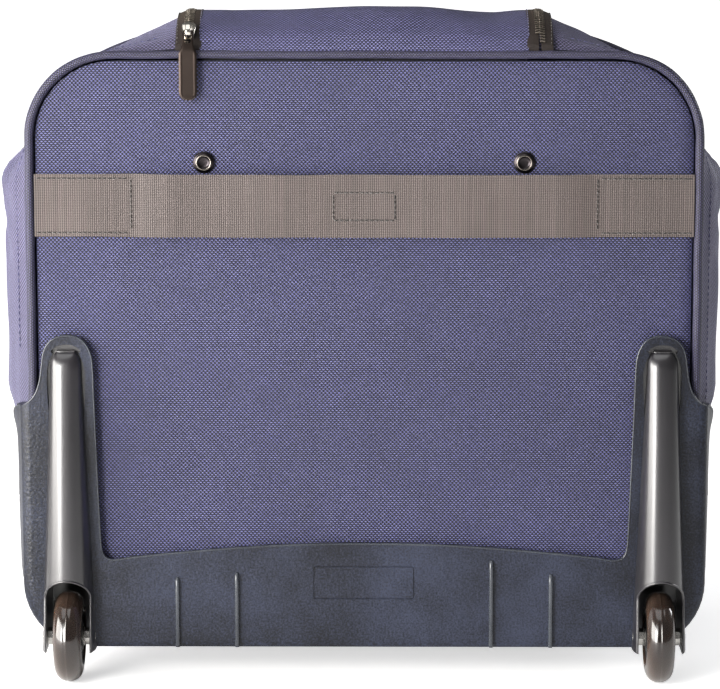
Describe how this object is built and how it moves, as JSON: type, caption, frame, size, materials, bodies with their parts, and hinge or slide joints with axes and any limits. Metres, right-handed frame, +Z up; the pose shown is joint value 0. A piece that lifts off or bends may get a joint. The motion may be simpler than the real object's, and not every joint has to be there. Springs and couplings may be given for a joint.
{
  "type": "rolling laptop case",
  "caption": "Soft-sided rolling laptop case with moulded base, two wheels, telescopic handle under a zipped top flap, luggage strap, fold-down front and front pocket.",
  "frame": {"origin": "on the floor, in the middle of the object's box in X and Y", "axes": "+Z up; +X along the width; -Y is the side with the wheels, housings and luggage strap, +Y the front with the pocket"},
  "size_m": [0.4464, 0.24, 0.4103],
  "materials": {
    "fabric_rear": "ballistic nylon basket weave, blue violet",
    "fabric_side": "ballistic nylon, darker blue",
    "piping": "covered piping cord",
    "webbing": "ribbed taupe webbing",
    "hook_loop": "hook and loop",
    "base_plastic": "grained, satin",
    "housing_plastic": "smooth satin",
    "black_plastic": "fine grain",
    "board": "sheet, plain",
    "lining": "woven lining",
    "zip_tape": "zip tape, brown black",
    "zip_metal": "polished",
    "zip_pull": "dark bronze, polished rim",
    "gunmetal": "dark, bright rim",
    "steel": "turned",
    "aluminium": "anodised satin",
    "wheel_pu": "glossy brown black polyurethane",
    "grip_rubber": "soft touch"
  },
  "bodies": {
    "case_body": {"back_panel": "fabric_rear", "back_stiffener": "board", "rear_piping": "piping", "body_shell": "fabric_side", "bottom_board": "board", "trolley_cover": "lining", "laptop_divider": "lining", "luggage_strap": "webbing", "panel_loop_patch": "hook_loop", "strap_hook_patch": "hook_loop", "base_plate": "base_plastic", "wheel_housing_left": "housing_plastic", "wheel_housing_right": "housing_plastic", "axle_left": "steel", "axle_right": "steel", "axle_spacer_left_inner": "steel", "axle_spacer_left_outer": "steel", "axle_spacer_right_inner": "steel", "axle_spacer_right_outer": "steel", "front_foot_left": "grip_rubber", "front_foot_right": "grip_rubber", "trolley_top_bracket": "black_plastic", "trolley_bottom_bracket": "black_plastic", "outer_tube_left": "aluminium", "outer_tube_right": "aluminium", "rivet_left": "gunmetal", "rivet_right": "gunmetal", "flap_zip_tape_body": "zip_tape", "main_zip_tape_body": "zip_tape", "handle_anchor_left": "black_plastic", "handle_anchor_right": "black_plastic"},
    "wheel_left": {"tyre_left": "wheel_pu", "hub_left": "black_plastic", "wheel_bush_left": "steel"},
    "wheel_right": {"tyre_right": "wheel_pu", "hub_right": "black_plastic", "wheel_bush_right": "steel"},
    "trolley_middle": {"middle_tube_left": "aluminium", "middle_tube_right": "aluminium"},
    "trolley_grip": {"inner_tube_left": "aluminium", "inner_tube_right": "aluminium", "grip_base": "black_plastic", "grip_cap": "grip_rubber"},
    "grip_button": {"grip_button": "gunmetal"},
    "top_flap": {"handle_flap": "fabric_rear", "flap_zip_tape_flap": "zip_tape"},
    "flap_slider": {"flap_slider": "zip_metal"},
    "flap_pull": {"flap_pull": "zip_pull"},
    "carry_handle": {"carry_handle": "grip_rubber"},
    "front_section": {"front_section": "fabric_side", "front_piping": "piping", "front_pocket": "fabric_rear", "main_zip_tape_front": "zip_tape", "pocket_zip_tape": "zip_tape"},
    "main_slider_left": {"main_slider_left": "zip_metal"},
    "main_pull_left": {"main_pull_left": "zip_pull"},
    "main_slider_right": {"main_slider_right": "zip_metal"},
    "main_pull_right": {"main_pull_right": "zip_pull"},
    "pocket_slider": {"pocket_slider": "zip_metal"},
    "pocket_pull": {"pocket_pull": "zip_pull"}
  },
  "joints": [
    {"name": "wheel_left_spin", "type": "hinge", "parent": "case_body", "child": "wheel_left", "pos_m": [-0.181, -0.092, 0.028], "axis": [1, 0, 0], "continuous": true},
    {"name": "wheel_right_spin", "type": "hinge", "parent": "case_body", "child": "wheel_right", "pos_m": [0.181, -0.092, 0.028], "axis": [1, 0, 0], "continuous": true},
    {"name": "trolley_lower_slide", "type": "slide", "parent": "case_body", "child": "trolley_middle", "axis": [0, 0, 1], "range_m": [0, 0.27]},
    {"name": "trolley_upper_slide", "type": "slide", "parent": "trolley_middle", "child": "trolley_grip", "axis": [0, 0, 1], "range_m": [0, 0.27]},
    {"name": "grip_button_press", "type": "slide", "parent": "trolley_grip", "child": "grip_button", "axis": [0, 0, -1], "range_m": [0, 0.003]},
    {"name": "flap_hinge", "type": "hinge", "parent": "case_body", "child": "top_flap", "pos_m": [0, -0.083, 0.388], "axis": [1, 0, 0], "range_deg": [0, 200], "deforming": ["handle_flap", "flap_zip_tape_flap"]},
    {"name": "flap_slider_travel", "type": "hinge", "parent": "case_body", "child": "flap_slider", "pos_m": [-0.1054, -0.044, 0.3552], "axis": [-1, 0, 0], "range_deg": [0, 60]},
    {"name": "flap_pull_swing", "type": "hinge", "parent": "flap_slider", "child": "flap_pull", "pos_m": [-0.1054, -0.08269, 0.39838], "axis": [-1, 0, 0], "range_deg": [0, 95]},
    {"name": "carry_handle_lift", "type": "hinge", "parent": "case_body", "child": "carry_handle", "pos_m": [0, 0.0085, 0.3936], "axis": [1, 0, 0], "range_deg": [0, 95]},
    {"name": "front_section_fold", "type": "hinge", "parent": "case_body", "child": "front_section", "pos_m": [0, 0.1, 0.06], "axis": [-1, 0, 0], "range_deg": [0, 90]},
    {"name": "main_slider_left_travel", "type": "slide", "parent": "front_section", "child": "main_slider_left", "axis": [-1, 0, 0], "range_m": [0, 0.1]},
    {"name": "main_slider_right_travel", "type": "slide", "parent": "front_section", "child": "main_slider_right", "axis": [1, 0, 0], "range_m": [0, 0.1]},
    {"name": "main_pull_left_swing", "type": "hinge", "parent": "main_slider_left", "child": "main_pull_left", "pos_m": [-0.0119, 0.0522, 0.39325], "axis": [0, 1, 0], "range_deg": [0, 95]},
    {"name": "main_pull_right_swing", "type": "hinge", "parent": "main_slider_right", "child": "main_pull_right", "pos_m": [0.0119, 0.0522, 0.39325], "axis": [0, -1, 0], "range_deg": [0, 95]},
    {"name": "pocket_slider_travel", "type": "slide", "parent": "front_section", "child": "pocket_slider", "axis": [1, 0, 0], "range_m": [0, 0.26]},
    {"name": "pocket_pull_swing", "type": "hinge", "parent": "pocket_slider", "child": "pocket_pull", "pos_m": [-0.1361, 0.10655, 0.2978], "axis": [0, 0, 1], "range_deg": [0, 110]}
  ],
  "couplings": [
    {"joint": "trolley_upper_slide", "follows": "trolley_lower_slide", "ratio": 1},
    {"joint": "flap_hinge", "follows": "trolley_lower_slide", "rad_per_m": 12.927},
    {"joint": "flap_pull_swing", "follows": "flap_slider_travel", "ratio": 1.5}
  ]
}
